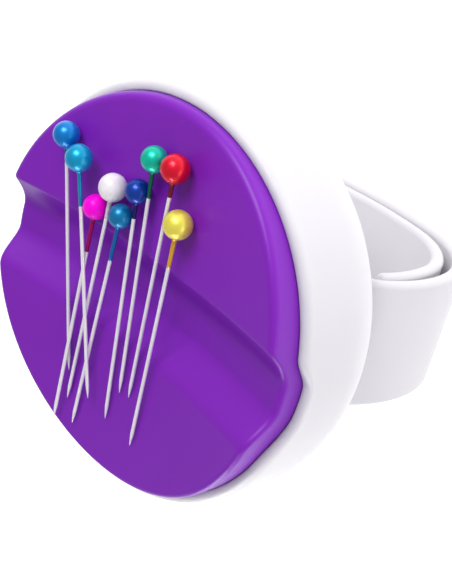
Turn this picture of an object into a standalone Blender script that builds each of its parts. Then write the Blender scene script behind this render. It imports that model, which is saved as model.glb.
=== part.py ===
"""Magnetic wrist pin holder: a round case with a magnetic face on a slap band, and nine pins.

The origin is the middle of the bridge plate's outer face, which lies on the wrist. +Z points away from the
wrist and out of the magnetic face, +X runs along the groove and along the band, +Y runs across the band.
"""
import math

import bmesh
import bpy
from mathutils import Matrix, Vector

MM = 0.001
FIT = 0.3 * MM  # clearance kept between neighbouring pieces

# Stack of pieces from the wrist outwards
BRIDGE_THICK = 1.8 * MM
BAND_THICK = 2.4 * MM
BAND_MID_Z = BRIDGE_THICK + FIT + BAND_THICK / 2
CASE_BACK_Z = BAND_MID_Z + BAND_THICK / 2 + FIT
CASE_DEPTH = 22.1 * MM  # from the case's back to the seam with the cover
SEAM_Z = CASE_BACK_Z + CASE_DEPTH

# Case
CASE_RADIUS = 35.0 * MM
CASE_BACK_ROUND = 10.8 * MM
CASE_WALL = 2.0 * MM
CASE_LIP_ROUND = 1.5 * MM
MOUTH_RADIUS = 33.4 * MM
LEDGE_RADIUS = 31.2 * MM
LEDGE_DROP = 4.3 * MM  # the cover's skirt stands on a ledge this far below the seam
LEDGE_THICK = 1.2 * MM
LEDGE_TAPER = 1.8 * MM  # height of the slope that carries the ledge
ROUND_STEPS = 56

# Cover
COVER_RADIUS = MOUTH_RADIUS - FIT
COVER_WALL = 2.0 * MM
SKIRT_DROP = LEDGE_DROP - FIT
FACE_RISE = 2.05 * MM  # height of the middle of the face above the seam
FACE_DISH = 3.53  # 1/m: the face rises by FACE_DISH * x * x towards its two ends
SLAB_REACH = COVER_RADIUS + 2 * MM  # half-size of the block that the cover is cut from
SLAB_STATIONS = 14
GROOVE_SIDE_ROWS = 6  # rows of points up each side of the groove

# Groove across the face, and the dip that it makes in the case's lip
GROOVE_DEPTH = 4.2 * MM
GROOVE_TOP_Y = 7.8 * MM
GROOVE_LOW_Y = -9.1 * MM
GROOVE_TOP_WALL = 6.3 * MM  # width of the steep side, which starts at a crisp edge
GROOVE_LOW_WALL = 7.0 * MM  # width of the soft side
LIP_DIP = 2.6 * MM
LIP_DIP_TOP_Y = 7.0 * MM
LIP_DIP_LOW_Y = -13.0 * MM
LIP_DIP_TOP_RAMP = 6.0 * MM
LIP_DIP_LOW_RAMP = 9.5 * MM

# Magnet and steel keeper inside the case
MAGNET_RADIUS = 24.0 * MM
MAGNET_THICK = 4.0 * MM
KEEPER_THICK = 1.0 * MM
MAGNET_TOP_Z = SEAM_Z + FACE_RISE - GROOVE_DEPTH - COVER_WALL - 0.4 * MM
MAGNET_EDGE = 0.4 * MM  # chamfer on the magnet's two edges
KEEPER_TOP_Z = MAGNET_TOP_Z - MAGNET_THICK - FIT
SEAT_TOP_Z = KEEPER_TOP_Z - KEEPER_THICK - FIT
SEAT_IN_RADIUS = 20.0 * MM  # the ring under the keeper
SEAT_OUT_RADIUS = 21.6 * MM
RIM_IN_RADIUS = MAGNET_RADIUS + 0.4 * MM  # the ring round the keeper and the magnet
RIM_OUT_RADIUS = MAGNET_RADIUS + 1.8 * MM
RIM_TOP_Z = KEEPER_TOP_Z + 1.5 * MM
DISC_STEPS = 48

# Bridge plate that clamps the band to the case, and its screws
BRIDGE_LENGTH = 24.0 * MM
BRIDGE_WIDTH = 36.0 * MM
BRIDGE_FOOT = 5.4 * MM
BRIDGE_ROUND = 0.8 * MM
SCREW_X = 7.0 * MM
SCREW_Y = 15.1 * MM
SCREW_SHAFT_RADIUS = 1.0 * MM
SCREW_HEAD_RADIUS = 1.8 * MM
SCREW_HEAD_THICK = 1.1 * MM
SCREW_LENGTH = 8.0 * MM
SCREW_SINK = 0.15 * MM  # the heads lie this far inside the bridge's face
SCREW_TAPER = 0.8 * MM
SCREW_EDGE = 0.4 * MM
BOSS_RADIUS = 2.8 * MM
BOSS_HEIGHT = 5.0 * MM

# Slap band: a silicone sleeve round a spring-steel strip
BAND_WIDTH = 23.6 * MM
SLOT_WIDTH = 18.0 * MM
SLOT_THICK = 0.9 * MM
STRIP_WIDTH = 17.4 * MM
STRIP_THICK = 0.3 * MM
ARM_LENGTH = 114.5 * MM
HINGE_SHARES = (2, 1, 1, 1, 1, 1)  # how an arm's hinges share its turning, from the tight corner on
STATION_STEP = 3.2 * MM

# A pin: a pearl on a steel shaft
SHAFT_RADIUS = 0.3 * MM
PIN_LENGTH = 41.5 * MM  # from the pearl's centre to the point
POINT_LENGTH = 4.0 * MM
PEARL_BORE = SHAFT_RADIUS + FIT
BORE_END = 0.2  # the bore ends this share of the pearl's radius past its centre
PEARL_STEPS = 12
SHAFT_STEPS = 8

# name, pearl diameter, pearl centre x, y, z above the face, then point x, y, z above the face (mm)
PINS = [
    ("blue", 4.5, (-19.85, 20.4, 0.0), (-10.55, -19.8, 0.0)),
    ("teal", 4.6, (-15.05, 18.4, 1.2), (-3.55, -21.5, 1.2)),
    ("magenta", 4.2, (-10.75, 11.5, 0.0), (-11.05, -30.6, 0.65)),
    ("white", 4.7, (-7.75, 16.3, 0.0), (-9.55, -23.2, 0.0)),
    ("navy", 4.1, (-2.65, 17.9, 0.0), (0.15, -22.9, 0.0)),
    ("steel_blue", 4.1, (-5.05, 12.5, 0.0), (-7.15, -28.7, 0.0)),
    ("green", 4.3, (-0.65, 24.2, 0.0), (1.95, -16.2, 0.0)),
    ("red", 4.7, (4.35, 24.8, 0.0), (4.35, -16.2, 0.0)),
    ("yellow", 4.7, (7.75, 17.1, 0.0), (7.35, -24.1, 0.0)),
]
PEARL_COLOURS = {
    "blue": (0.02, 0.20, 0.50),
    "teal": (0.01, 0.25, 0.42),
    "magenta": (0.80, 0.01, 0.45),
    "white": (0.85, 0.80, 0.86),
    "navy": (0.01, 0.04, 0.28),
    "steel_blue": (0.02, 0.14, 0.27),
    "green": (0.01, 0.38, 0.22),
    "red": (0.55, 0.01, 0.04),
    "yellow": (0.90, 0.65, 0.10),
}

PARTS_NAME = "wrist_pin_holder"


def clear_scene():
    for thing in list(bpy.data.objects):
        bpy.data.objects.remove(thing, do_unlink=True)


def new_collection(name):
    made = bpy.data.collections.new(name)
    bpy.context.scene.collection.children.link(made)
    return made


def new_material(name, colour, roughness, metallic=0.0):
    made = bpy.data.materials.new(name)
    made.use_nodes = True
    shader = made.node_tree.nodes["Principled BSDF"]
    shader.inputs["Base Color"].default_value = (*colour, 1.0)
    shader.inputs["Roughness"].default_value = roughness
    shader.inputs["Metallic"].default_value = metallic
    made.diffuse_color = (*colour, 1.0)
    return made


def new_object(name, mesh, collection, material=None):
    thing = bpy.data.objects.new(name, mesh)
    collection.objects.link(thing)
    if material is not None:
        mesh.materials.append(material)
    return thing


def smooth(thing, angle_deg=35):
    thing.data.shade_smooth()
    thing.data.set_sharp_from_angle(angle=math.radians(angle_deg))


def evaluated_mesh(thing):
    """The mesh that the object's modifiers make."""
    bpy.context.view_layer.update()
    graph = bpy.context.evaluated_depsgraph_get()
    return bpy.data.meshes.new_from_object(thing.evaluated_get(graph))


def bake_modifiers(thing):
    mesh = evaluated_mesh(thing)
    thing.modifiers.clear()
    thing.data = mesh


def turned(name, profile, steps, collection, material=None):
    """A turned solid: the profile, a list of (radius, z), runs down the outer side and is spun round Z."""
    shape = bmesh.new()
    points = [shape.verts.new((radius, 0.0, z)) for radius, z in profile]
    for first, second in zip(points, points[1:]):
        shape.edges.new((first, second))
    mesh = bpy.data.meshes.new(name)
    shape.to_mesh(mesh)
    shape.free()
    thing = new_object(name, mesh, collection, material)
    spin = thing.modifiers.new("spin", "SCREW")
    spin.steps = steps
    spin.render_steps = steps
    spin.use_merge_vertices = True
    spin.merge_threshold = 0.00001
    spin.use_smooth_shade = True
    return thing


def arc(centre, radius, start_deg, end_deg, count):
    """Points on a circular arc in the (radius, z) plane, with both ends."""
    points = []
    for i in range(count + 1):
        angle = math.radians(start_deg + (end_deg - start_deg) * i / count)
        points.append((centre[0] + radius * math.cos(angle), centre[1] + radius * math.sin(angle)))
    return points


def cutting(target, tool, operation="DIFFERENCE"):
    """Cuts the target with the tool, or joins them, and removes the tool."""
    change = target.modifiers.new(tool.name, "BOOLEAN")
    change.operation = operation
    change.object = tool
    bake_modifiers(target)
    bpy.data.objects.remove(tool, do_unlink=True)


def cylinder_tool(name, radius, low, high, x, y, collection, sides=20):
    shape = bmesh.new()
    bmesh.ops.create_cone(
        shape, cap_ends=True, segments=sides, radius1=radius, radius2=radius, depth=high - low
    )
    bmesh.ops.translate(shape, verts=shape.verts, vec=(x, y, (low + high) / 2))
    mesh = bpy.data.meshes.new(name)
    shape.to_mesh(mesh)
    shape.free()
    tool = new_object(name, mesh, collection)
    tool.hide_render = True
    tool.display_type = "WIRE"
    return tool


def box_mesh(name, low, high):
    shape = bmesh.new()
    bmesh.ops.create_cube(shape, size=1.0)
    size = Vector(high) - Vector(low)
    middle = (Vector(high) + Vector(low)) / 2
    bmesh.ops.scale(shape, verts=shape.verts, vec=size)
    bmesh.ops.translate(shape, verts=shape.verts, vec=middle)
    mesh = bpy.data.meshes.new(name)
    shape.to_mesh(mesh)
    shape.free()
    return mesh


def loft(name, rings, holes=None):
    """A closed solid through rings of points, with a slot right through it where holes gives inner rings."""
    shape = bmesh.new()
    outer = [[shape.verts.new(p) for p in ring] for ring in rings]
    inner = [[shape.verts.new(p) for p in ring] for ring in holes or []]
    count = len(rings[0])
    for skin in (outer, inner):
        for near, far in zip(skin, skin[1:]):
            for i in range(len(near)):
                j = (i + 1) % len(near)
                shape.faces.new((near[i], near[j], far[j], far[i]))
    for end in (0, -1):
        if not inner:
            shape.faces.new(outer[end])
            continue
        for i in range(count):
            j = (i + 1) % count
            shape.faces.new((outer[end][i], outer[end][j], inner[end][j], inner[end][i]))
    bmesh.ops.recalc_face_normals(shape, faces=shape.faces)
    mesh = bpy.data.meshes.new(name)
    shape.to_mesh(mesh)
    shape.free()
    return mesh


# ---------------------------------------------------------------- face and case


def groove_drop(y):
    """How far the groove lies under the face at this y: a steep side, a flat floor and a soft side."""
    if y >= GROOVE_TOP_Y or y <= GROOVE_LOW_Y:
        return 0.0
    steep = min((GROOVE_TOP_Y - y) / GROOVE_TOP_WALL, 1.0)
    soft = min((y - GROOVE_LOW_Y) / GROOVE_LOW_WALL, 1.0)
    return GROOVE_DEPTH * min(math.sin(math.pi / 2 * steep), (1 - math.cos(math.pi * soft)) / 2)


def face_height(x, y):
    return SEAM_Z + FACE_RISE + FACE_DISH * x * x - groove_drop(y)


def lip_drop(y):
    """How far the case's lip dips under the seam at this y, next to the groove's two ends."""
    share = min((LIP_DIP_TOP_Y - y) / LIP_DIP_TOP_RAMP, (y - LIP_DIP_LOW_Y) / LIP_DIP_LOW_RAMP)
    share = max(0.0, min(share, 1.0))
    return LIP_DIP * (1 - math.cos(math.pi * share)) / 2


def groove_rows():
    """The y of each row of the face: the two flats, the groove's edges, its two sides and its floor."""
    shares = [i / GROOVE_SIDE_ROWS for i in range(GROOVE_SIDE_ROWS + 1)]
    low_side = [GROOVE_LOW_Y + GROOVE_LOW_WALL * share for share in shares]
    top_side = [GROOVE_TOP_Y - GROOVE_TOP_WALL * share for share in reversed(shares)]
    return [-SLAB_REACH] + low_side + top_side + [SLAB_REACH]


def face_slab(name, low_z, drop):
    """A block whose top is the face lowered by drop and whose flat bottom is at low_z."""
    rows = groove_rows()
    rings = []
    for i in range(SLAB_STATIONS + 1):
        x = SLAB_REACH * (2 * i / SLAB_STATIONS - 1)
        top = [(x, y, face_height(x, y) - drop) for y in rows]
        rings.append(top + [(x, rows[-1], low_z), (x, rows[0], low_z)])
    return loft(name, rings)


def make_cover(parts, tools, material):
    """The magnetic face's shell: a disc with a groove across its dished top and a skirt round its edge."""
    bottom = SEAM_Z - SKIRT_DROP
    above = SEAM_Z + SLAB_REACH  # well over the face
    cover = new_object("front_cover", face_slab("front_cover", bottom, 0.0), parts, material)
    rim = cylinder_tool("cover_rim", COVER_RADIUS, bottom - MM, above, 0, 0, tools, ROUND_STEPS)
    cutting(cover, rim, "INTERSECT")
    hollow = new_object("cover_hollow", face_slab("cover_hollow", bottom - MM, COVER_WALL), tools)
    core_radius = COVER_RADIUS - COVER_WALL
    core = cylinder_tool("cover_core", core_radius, bottom - 2 * MM, above, 0, 0, tools, ROUND_STEPS)
    cutting(hollow, core, "INTERSECT")
    cutting(cover, hollow)
    smooth(cover)
    return cover


def case_profile():
    """Half section of the case, from the middle of its inner floor out to the lip and down the outer side."""
    floor_z = CASE_BACK_Z + CASE_WALL
    flat = CASE_RADIUS - CASE_BACK_ROUND
    back_centre = (flat, CASE_BACK_Z + CASE_BACK_ROUND)
    inner_round = CASE_BACK_ROUND - CASE_WALL
    rim_foot_deg = -math.degrees(math.acos((RIM_OUT_RADIUS - flat) / inner_round))
    profile = [(0.0, floor_z), (SEAT_IN_RADIUS, floor_z), (SEAT_IN_RADIUS, SEAT_TOP_Z)]
    profile += [(SEAT_OUT_RADIUS, SEAT_TOP_Z), (SEAT_OUT_RADIUS, floor_z), (RIM_IN_RADIUS, floor_z)]
    profile += [(RIM_IN_RADIUS, RIM_TOP_Z), (RIM_OUT_RADIUS, RIM_TOP_Z)]
    profile += arc(back_centre, inner_round, rim_foot_deg, 0, 5)
    ledge_z = SEAM_Z - LEDGE_DROP
    profile += [(CASE_RADIUS - CASE_WALL, ledge_z - LEDGE_THICK - LEDGE_TAPER)]
    profile += [(LEDGE_RADIUS, ledge_z - LEDGE_THICK), (LEDGE_RADIUS, ledge_z), (MOUTH_RADIUS, ledge_z)]
    profile += [(MOUTH_RADIUS, SEAM_Z - 2 * CASE_LIP_ROUND), (MOUTH_RADIUS, SEAM_Z - FIT)]
    lip_centre = (CASE_RADIUS - CASE_LIP_ROUND, SEAM_Z - CASE_LIP_ROUND)
    profile += arc(lip_centre, CASE_LIP_ROUND, 90, 0, 4)
    profile += [(CASE_RADIUS, ledge_z - MM)]
    profile += arc(back_centre, CASE_BACK_ROUND, 0, -90, 8)
    profile.append((0.0, CASE_BACK_Z))
    return profile


def make_case(parts, tools, material):
    """The round cup, with a ring seat for the magnet, screw bosses in its floor and two dips in its lip."""
    case = turned("case_body", case_profile(), ROUND_STEPS, parts, material)
    bake_modifiers(case)
    ledge_z = SEAM_Z - LEDGE_DROP
    for vertex in case.data.vertices:
        above = (vertex.co.z - ledge_z) / LEDGE_DROP
        if above > 0.01 and math.hypot(vertex.co.x, vertex.co.y) > LEDGE_RADIUS + MM:
            vertex.co.z -= lip_drop(vertex.co.y) * above
    floor_z = CASE_BACK_Z + CASE_WALL
    hole_top = SCREW_SINK + SCREW_LENGTH + FIT
    for i, (x, y) in enumerate(screw_places()):
        boss = cylinder_tool(f"boss_{i}", BOSS_RADIUS, floor_z - MM, floor_z + BOSS_HEIGHT, x, y, tools)
        cutting(case, boss, "UNION")
        hole = cylinder_tool(f"hole_{i}", SCREW_SHAFT_RADIUS + FIT, CASE_BACK_Z - MM, hole_top, x, y, tools)
        cutting(case, hole)
    smooth(case)
    return case


def screw_places():
    return [(sx * SCREW_X, sy * SCREW_Y) for sx in (-1, 1) for sy in (-1, 1)]


def make_magnet(parts, material):
    top, low = MAGNET_TOP_Z, MAGNET_TOP_Z - MAGNET_THICK
    edge = MAGNET_EDGE
    profile = [(0.0, top), (MAGNET_RADIUS - edge, top), (MAGNET_RADIUS, top - edge)]
    profile += [(MAGNET_RADIUS, low + edge), (MAGNET_RADIUS - edge, low), (0.0, low)]
    return turned("magnet_disc", profile, DISC_STEPS, parts, material)


def make_keeper(parts, material):
    top, low = KEEPER_TOP_Z, KEEPER_TOP_Z - KEEPER_THICK
    profile = [(0.0, top), (MAGNET_RADIUS, top), (MAGNET_RADIUS, low), (0.0, low)]
    return turned("keeper_plate", profile, DISC_STEPS, parts, material)


def make_bridge(parts, tools, material):
    """The plate under the band: its two feet stand on the case's back on either side of the band."""
    half_x, half_y = BRIDGE_LENGTH / 2, BRIDGE_WIDTH / 2
    foot_top = CASE_BACK_Z - FIT
    block = box_mesh("band_bridge", (-half_x, -half_y, 0.0), (half_x, half_y, foot_top))
    bridge = new_object("band_bridge", block, parts, material)
    rounding = bridge.modifiers.new("rounding", "BEVEL")
    rounding.width = BRIDGE_ROUND
    rounding.segments = 2
    rounding.limit_method = "ANGLE"
    bake_modifiers(bridge)
    channel_y = half_y - BRIDGE_FOOT
    way = box_mesh(
        "band_channel", (-half_x - MM, -channel_y, BRIDGE_THICK), (half_x + MM, channel_y, foot_top + MM)
    )
    cutting(bridge, new_object("band_channel", way, tools))
    head_way = SCREW_HEAD_RADIUS + FIT
    shaft_way = SCREW_SHAFT_RADIUS + FIT
    sink = SCREW_HEAD_THICK + FIT
    for i, (x, y) in enumerate(screw_places()):
        cutting(bridge, cylinder_tool(f"sink_{i}", head_way, -MM, sink, x, y, tools))
        cutting(bridge, cylinder_tool(f"way_{i}", shaft_way, -MM, foot_top + MM, x, y, tools))
    smooth(bridge)
    return bridge


def make_screws(parts, material):
    """Pan-head screws, driven from the wrist side through the bridge's feet into the case's bosses."""
    head_low = SCREW_SINK
    head_top = head_low + SCREW_HEAD_THICK
    tip = head_low + SCREW_LENGTH - FIT
    profile = [(0.0, tip), (SCREW_SHAFT_RADIUS / 2, tip), (SCREW_SHAFT_RADIUS, tip - SCREW_TAPER)]
    profile += [(SCREW_SHAFT_RADIUS, head_top), (SCREW_HEAD_RADIUS, head_top)]
    profile += [(SCREW_HEAD_RADIUS, head_low + SCREW_EDGE), (SCREW_HEAD_RADIUS - SCREW_EDGE, head_low)]
    profile += [(0.0, head_low)]
    for i, (x, y) in enumerate(screw_places()):
        screw = turned(f"bridge_screw_{i + 1}", profile, 16, parts, material)
        screw.location = (x, y, 0.0)


# ---------------------------------------------------------------- band


def arm_turns(flat, corner, side, low_corner):
    """The arm's course as (length, turning) steps: flat on the case, round the corner, down the side, across.

    The first half turns by 180 degrees in all, so that the arm crosses the loop's lowest point level and at
    x = 0, and the second half mirrors the first until the arm's length is used up.
    """
    turns = [(corner, 68.0), (side, 32.0), (low_corner, 68.0)]
    reach, heading = flat, 0.0
    for radius, turn in turns:
        after = heading + math.radians(turn)
        reach += radius * (math.sin(after) - math.sin(heading))
        heading = after
    bottom = reach / math.sin(math.pi - heading)
    steps = [(flat, 0.0)]
    turns += [(bottom, 24.0), (low_corner, 68.0), (side, 32.0)]
    steps += [(radius * math.radians(turn), turn) for radius, turn in turns]
    used, course = 0.0, []
    for length, turn in steps:
        share = min(1.0, (ARM_LENGTH - used) / length)
        course.append((length * share, turn * share))
        used += length * share
        if share < 1.0:
            break
    return course


ARMS = {
    "outer": (1, arm_turns(20.5 * MM, 6.3 * MM, 28.0 * MM, 18.0 * MM)),
    "inner": (-1, arm_turns(18.1 * MM, 5.5 * MM, 26.0 * MM, 15.0 * MM)),
}


def arm_point(arm, distance):
    """The arm's middle surface at this distance from the band's middle: x, z, and the turning so far."""
    sign, course = ARMS[arm]
    x, z, turned_by, left = 0.0, BAND_MID_Z, 0.0, distance
    for length, turn in course:
        step = min(left, length)
        part = math.radians(turn) * step / length
        if turn > 0.0:
            radius = length / math.radians(turn)
            x += radius * (math.sin(turned_by + part) - math.sin(turned_by))
            z -= radius * (math.cos(turned_by) - math.cos(turned_by + part))
        else:
            x += step * math.cos(turned_by)
            z -= step * math.sin(turned_by)
        turned_by += part
        left -= step
        if left <= 0.0:
            break
    return sign * x, z, turned_by


def hinge_turns(arm):
    """The angle of each of the arm's hinges, from the first, which together straighten the arm."""
    whole = math.radians(sum(turn for _, turn in ARMS[arm][1]))
    return [whole * share / sum(HINGE_SHARES) for share in HINGE_SHARES]


def hinge_distance(arm, index):
    """Distance along the arm of hinge number index, at the middle of the stretch that it straightens."""
    turns = hinge_turns(arm)
    wanted = sum(turns[:index]) + turns[index] / 2
    used, turned_by = 0.0, 0.0
    for length, turn in ARMS[arm][1]:
        turn = math.radians(turn)
        if turned_by + turn >= wanted:
            return used + length * (wanted - turned_by) / turn
        used += length
        turned_by += turn
    return used


def sleeve_section():
    """The sleeve's outline, a ring of (y, height) points with its corners cut."""
    half, tall = BAND_WIDTH / 2, BAND_THICK / 2
    cut = tall * 0.6
    ring = [(-half + cut, -tall), (half - cut, -tall), (half, -tall + cut), (half, tall - cut)]
    return ring + [(-y, -height) for y, height in ring]


def slot_section():
    """The slot's outline, with as many points as the sleeve's."""
    half, tall = SLOT_WIDTH / 2, SLOT_THICK / 2
    ring = [(-half + FIT, -tall), (half - FIT, -tall), (half, -tall / 2), (half, tall / 2)]
    return ring + [(-y, -height) for y, height in ring]


def strip_section():
    half, tall = STRIP_WIDTH / 2, STRIP_THICK / 2
    return [(-half, -tall), (half, -tall), (half, tall), (-half, tall)]


def placed_section(section, arm, distance, lean):
    """The section set across the arm at this distance, leaning so that its outer side draws back by lean."""
    x, z, turned_by = arm_point(arm, distance)
    sign = ARMS[arm][0]
    out = Vector((sign * math.sin(turned_by), 0.0, math.cos(turned_by)))
    along = Vector((sign * math.cos(turned_by), 0.0, -math.sin(turned_by)))
    ring = []
    for y, height in section:
        place = Vector((x, y, z)) + out * height
        ring.append(place + along * (height + BAND_THICK / 2) * lean)
    return ring


def segment_stations(arm, index):
    """(arm, distance, lean) rows along one segment, whose ends lean open so that it can straighten."""
    turns = hinge_turns(arm)
    last = index == len(turns) - 1
    first_distance = hinge_distance(arm, index) + FIT / 2
    last_distance = ARM_LENGTH if last else hinge_distance(arm, index + 1) - FIT / 2
    reach = last_distance - first_distance
    count = max(2, math.ceil(reach / STATION_STEP))
    stations = [(arm, first_distance + reach * i / count, 0.0) for i in range(count + 1)]
    stations[0] = (arm, first_distance, math.tan(turns[index] / 2))
    if not last:
        stations[-1] = (arm, last_distance, -math.tan(turns[index + 1] / 2))
    return stations


def middle_stations():
    """Rows along the band's middle, flat under the case, from one arm's first hinge to the other's."""
    stations = []
    for arm in ("inner", "outer"):
        end = hinge_distance(arm, 0) - FIT / 2
        flat = ARMS[arm][1][0][0]
        lean = -math.tan(hinge_turns(arm)[0] / 2)
        rows = [(arm, end, lean), (arm, (flat + end) / 2, 0.0), (arm, flat, 0.0)]
        stations += rows if arm == "inner" else reversed(rows)
    return stations


def rings_through(section, stations):
    return [placed_section(section, *station) for station in stations]


def make_segment(name, stations, parts, silicone, steel):
    """One length of the sleeve, with a slot right through it, and of the strip in the slot."""
    outline = rings_through(sleeve_section(), stations)
    slot = rings_through(slot_section(), stations)
    sleeve = loft(f"band_sleeve_{name}", outline, slot)
    smooth(new_object(f"band_sleeve_{name}", sleeve, parts, silicone))
    strip = loft(f"spring_strip_{name}", rings_through(strip_section(), stations))
    smooth(new_object(f"spring_strip_{name}", strip, parts, steel))


def make_band(parts, silicone, steel):
    make_segment("middle", middle_stations(), parts, silicone, steel)
    for arm in ARMS:
        for index in range(len(HINGE_SHARES)):
            make_segment(f"{arm}_{index + 1}", segment_stations(arm, index), parts, silicone, steel)


# ---------------------------------------------------------------- pins


def pin_line(diameter, head, point):
    """World places of a pearl's centre and of the pin's point, both standing clear of the face."""
    ends = []
    for (x, y, extra), radius in ((head, diameter / 2 * MM), (point, SHAFT_RADIUS)):
        x, y = x * MM, y * MM
        ends.append(Vector((x, y, SEAM_Z + FACE_RISE + FACE_DISH * x * x + radius + FIT + extra * MM)))
    return ends


def pearl_profile(radius):
    """Half section of a bored pearl, from its pole down to the bore's mouth and up to the bore's end."""
    mouth_deg = -math.degrees(math.acos(PEARL_BORE / radius))
    profile = arc((0.0, 0.0), radius, 90, mouth_deg, 7)
    profile[0] = (0.0, radius)
    return profile + [(PEARL_BORE, radius * BORE_END), (0.0, radius * BORE_END)]


def shaft_profile(top):
    neck = -PIN_LENGTH + POINT_LENGTH
    profile = [(0.0, top), (SHAFT_RADIUS, top), (SHAFT_RADIUS, neck)]
    return profile + [(SHAFT_RADIUS * 0.6, neck - POINT_LENGTH * 0.6), (0.0, -PIN_LENGTH)]


def make_pin(name, diameter, head, point, parts, steel):
    """A bored pearl on a shaft. Both stand on an empty at the pearl's centre, with the shaft down its -Z."""
    centre, tip = pin_line(diameter, head, point)
    anchor = bpy.data.objects.new(f"pin_{name}", None)
    parts.objects.link(anchor)
    turn = Vector((0, 0, -1)).rotation_difference(tip - centre)
    anchor.matrix_world = Matrix.Translation(centre) @ turn.to_matrix().to_4x4()
    radius = diameter / 2 * MM
    colour = new_material(f"pearl_{name}", PEARL_COLOURS[name], 0.2)
    pearl = turned(f"pin_{name}_pearl", pearl_profile(radius), PEARL_STEPS, parts, colour)
    shaft_top = radius * BORE_END - FIT
    shaft = turned(f"pin_{name}_shaft", shaft_profile(shaft_top), SHAFT_STEPS, parts, steel)
    for piece in (pearl, shaft):
        piece.parent = anchor


def main():
    clear_scene()
    parts = new_collection(PARTS_NAME)
    tools = new_collection("cutters")
    white = new_material("case_white", (0.82, 0.82, 0.84), 0.25)
    purple = new_material("cover_purple", (0.20, 0.03, 0.43), 0.3)
    silicone = new_material("band_silicone", (0.78, 0.77, 0.78), 0.5)
    steel = new_material("steel", (0.60, 0.60, 0.62), 0.25, 1.0)
    ferrite = new_material("ferrite", (0.05, 0.05, 0.05), 0.6)
    make_case(parts, tools, white)
    make_cover(parts, tools, purple)
    make_magnet(parts, ferrite)
    make_keeper(parts, steel)
    make_bridge(parts, tools, white)
    make_screws(parts, steel)
    make_band(parts, silicone, steel)
    for name, diameter, head, point in PINS:
        make_pin(name, diameter, head, point, parts, steel)


main()
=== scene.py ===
"""The looks of the magnetic wrist pin holder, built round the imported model.

Everything is in metres in the model's own frame. The origin is the middle of the bridge plate's outer face,
+Z points out of the magnetic face, +X runs along the groove and the band, and +Y runs across the band.
"""
import math

import bmesh
import bpy
from mathutils import Matrix, Vector
from mathutils.geometry import delaunay_2d_cdt


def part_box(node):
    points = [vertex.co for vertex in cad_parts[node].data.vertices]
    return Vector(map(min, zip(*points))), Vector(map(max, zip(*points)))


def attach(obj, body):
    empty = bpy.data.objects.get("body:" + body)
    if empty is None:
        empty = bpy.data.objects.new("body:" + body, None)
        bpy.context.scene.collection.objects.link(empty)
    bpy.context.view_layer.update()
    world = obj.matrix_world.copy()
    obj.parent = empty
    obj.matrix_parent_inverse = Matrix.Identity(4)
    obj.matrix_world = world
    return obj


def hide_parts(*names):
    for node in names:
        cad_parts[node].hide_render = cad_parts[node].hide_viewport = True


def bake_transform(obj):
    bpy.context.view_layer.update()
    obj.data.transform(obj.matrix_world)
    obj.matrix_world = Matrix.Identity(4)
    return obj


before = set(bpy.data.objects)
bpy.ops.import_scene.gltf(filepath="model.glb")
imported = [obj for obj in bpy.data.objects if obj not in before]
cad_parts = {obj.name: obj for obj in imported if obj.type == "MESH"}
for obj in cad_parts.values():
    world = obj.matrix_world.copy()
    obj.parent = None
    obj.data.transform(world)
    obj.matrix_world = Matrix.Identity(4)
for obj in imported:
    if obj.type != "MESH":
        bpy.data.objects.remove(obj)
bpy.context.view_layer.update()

MM = 0.001
FIT = 0.3 * MM  # clearance between neighbouring pieces

# ---------------------------------------------------------------- dimensions read from the frame

CASE_LOW, CASE_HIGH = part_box("case_body")
COVER_LOW, COVER_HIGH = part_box("front_cover")
BRIDGE_LOW, BRIDGE_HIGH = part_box("band_bridge")
BAND_LOW, BAND_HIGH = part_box("band_sleeve_middle")
STRIP_LOW, STRIP_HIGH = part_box("spring_strip_middle")

CASE_RADIUS = CASE_HIGH.x
CASE_BACK_Z = CASE_LOW.z
SEAM_Z = CASE_HIGH.z  # the top of the case's lip
COVER_RADIUS = COVER_HIGH.x
SKIRT_LOW_Z = COVER_LOW.z
BAND_WIDTH = BAND_HIGH.y - BAND_LOW.y
BRIDGE_THICK = 1.8 * MM
BAND_THICK = 2.4 * MM
BAND_MID_Z = BAND_HIGH.z - BAND_THICK / 2
STRIP_WIDTH = STRIP_HIGH.y - STRIP_LOW.y
STRIP_THICK = 0.3 * MM

# ---------------------------------------------------------------- face and case shapes

FACE_RISE = 2.05 * MM
FACE_DISH = 3.53  # the face's height grows by this times x squared
GROOVE_DEPTH = 4.2 * MM
GROOVE_TOP_Y = 7.8 * MM
GROOVE_LOW_Y = -9.1 * MM
GROOVE_TOP_WALL = 6.3 * MM
GROOVE_LOW_WALL = 7.0 * MM
GROOVE_LOW_EDGE = 0.22  # how plainly the soft side starts at its edge
GROOVE_TOP_SOFT = 0.16 * MM  # how softly the face turns into the groove at its upper edge
COVER_WALL = 2.0 * MM
RIM_ROUND_LOW = 0.8 * MM  # rounding of the face's edge at its -Y side
RIM_ROUND_HIGH = 1.6 * MM  # and at its +Y side
RIM_STEPS = 12
LEDGE_DROP = 4.3 * MM
LEDGE_RADIUS = 31.2 * MM
LEDGE_THICK = 1.2 * MM
LEDGE_TAPER = 1.8 * MM
MOUTH_RADIUS = COVER_RADIUS + 0.14 * MM
CASE_BACK_ROUND = 10.8 * MM
CASE_WALL = 2.0 * MM
CASE_LIP_ROUND = 1.4 * MM
MOUTH_ROUND = 0.12 * MM
LIP_DIP = 2.6 * MM
LIP_DIP_TOP_Y = 7.0 * MM
LIP_DIP_LOW_Y = -13.0 * MM
LIP_DIP_TOP_RAMP = 6.0 * MM
LIP_DIP_LOW_RAMP = 9.5 * MM
ROUND_STEPS = 360
ROW_STEP = 1.3 * MM  # rows of points across the face
EDGE_ROW_STEP = 0.08 * MM  # and close to the groove's upper edge
EDGE_ROWS = 10
WALL_ROWS = 40
LEAST_ROW_GAP = 0.04 * MM
ROW_POINT_STEP = 1.6 * MM
UNDER_POINT_STEP = 2.5 * MM
SKIRT_LEVELS = 6
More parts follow.
